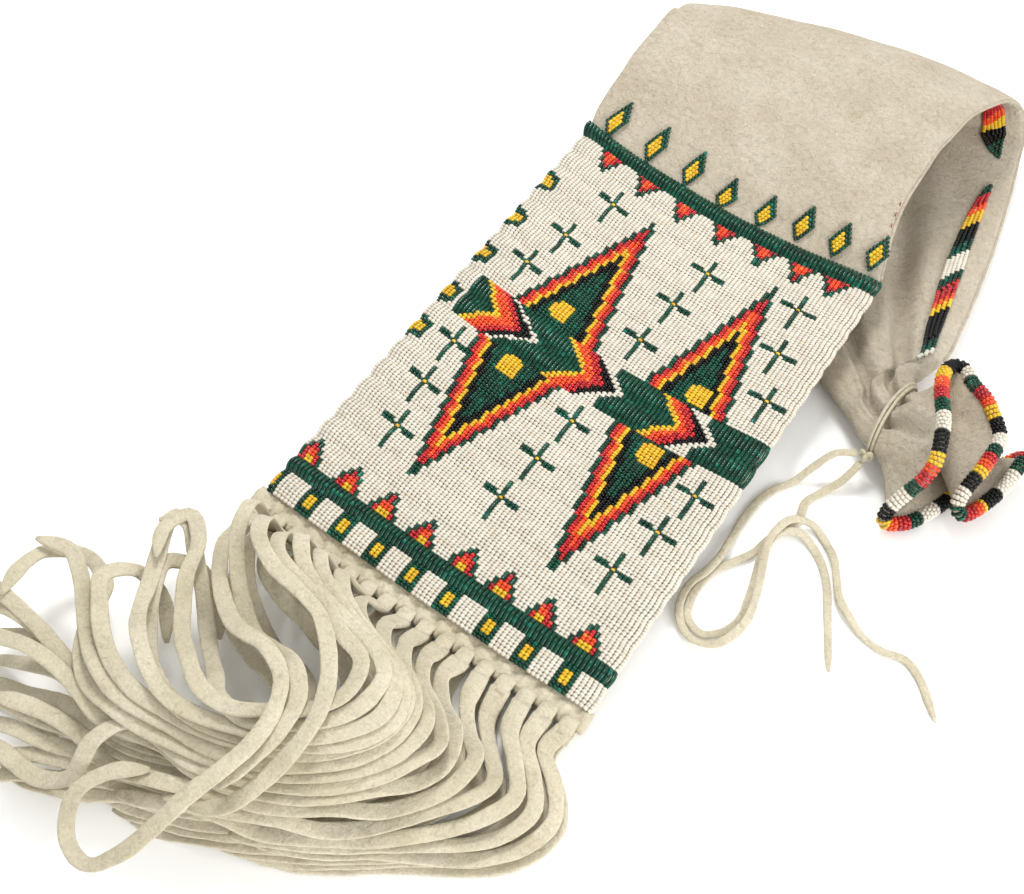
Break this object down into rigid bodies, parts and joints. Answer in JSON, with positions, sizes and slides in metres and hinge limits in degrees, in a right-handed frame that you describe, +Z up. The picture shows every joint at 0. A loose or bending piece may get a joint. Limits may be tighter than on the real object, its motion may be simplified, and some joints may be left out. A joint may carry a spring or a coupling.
{
  "type": "pipe bag",
  "caption": "Long flat hide bag lying folded over on a table, with a panel of lane-stitched beads, a doubled thong fringe, a tied neck and a beaded mouth.",
  "frame": {"origin": "on the table, under the middle of the bag's bounding box, measured without the thongs and the tie's ends", "axes": "+X across the bead panel to its right side, +Y up the bag from fringe to fold, +Z up from the table"},
  "size_m": [0.3386, 0.589, 0.0588],
  "materials": {
    "hide": "soft white brain-tanned hide with a napped, suede-like surface",
    "white_beads": "pearly opaque white glass seed beads",
    "green_beads": "glossy dark green glass seed beads",
    "red_beads": "glossy red glass seed beads",
    "orange_beads": "glossy orange glass seed beads",
    "yellow_beads": "glossy yellow glass seed beads",
    "black_beads": "glossy black glass seed beads"
  },
  "bodies": {
    "root": {"bag_body": "hide", "fringe_hem": "hide", "neck_tie": "hide", "tie_end_1": "hide", "tie_end_2": "hide", "thong_01": "hide", "thong_02": "hide", "thong_03": "hide", "thong_04": "hide", "thong_05": "hide", "thong_06": "hide", "thong_07": "hide", "thong_08": "hide", "thong_09": "hide", "thong_10": "hide", "thong_11": "hide", "thong_12": "hide", "thong_13": "hide", "thong_14": "hide", "thong_15": "hide", "thong_16": "hide", "thong_17": "hide", "bead_ground": "white_beads", "mouth_rim": "white_beads", "side_edging": "black_beads", "top_band": "green_beads", "bottom_band": "green_beads", "side_bar": "green_beads", "left_figure_upper_border": "red_beads", "left_figure_upper_field": "green_beads", "left_figure_upper_window": "yellow_beads", "left_figure_lower_border": "red_beads", "left_figure_lower_field": "green_beads", "left_figure_lower_window": "yellow_beads", "right_figure_upper_border": "red_beads", "right_figure_upper_field": "green_beads", "right_figure_upper_window": "yellow_beads", "right_figure_lower_border": "red_beads", "right_figure_lower_field": "green_beads", "right_figure_lower_window": "yellow_beads", "feather_left_quill": "green_beads", "feather_left_head": "orange_beads", "feather_middle_quill": "green_beads", "feather_middle_head": "orange_beads", "feather_right_quill": "green_beads", "feather_right_head": "orange_beads", "diamond_1": "green_beads", "diamond_2": "green_beads", "diamond_3": "green_beads", "diamond_4": "green_beads", "diamond_5": "green_beads", "diamond_6": "green_beads", "diamond_7": "green_beads", "diamond_8": "green_beads"}
  },
  "joints": []
}
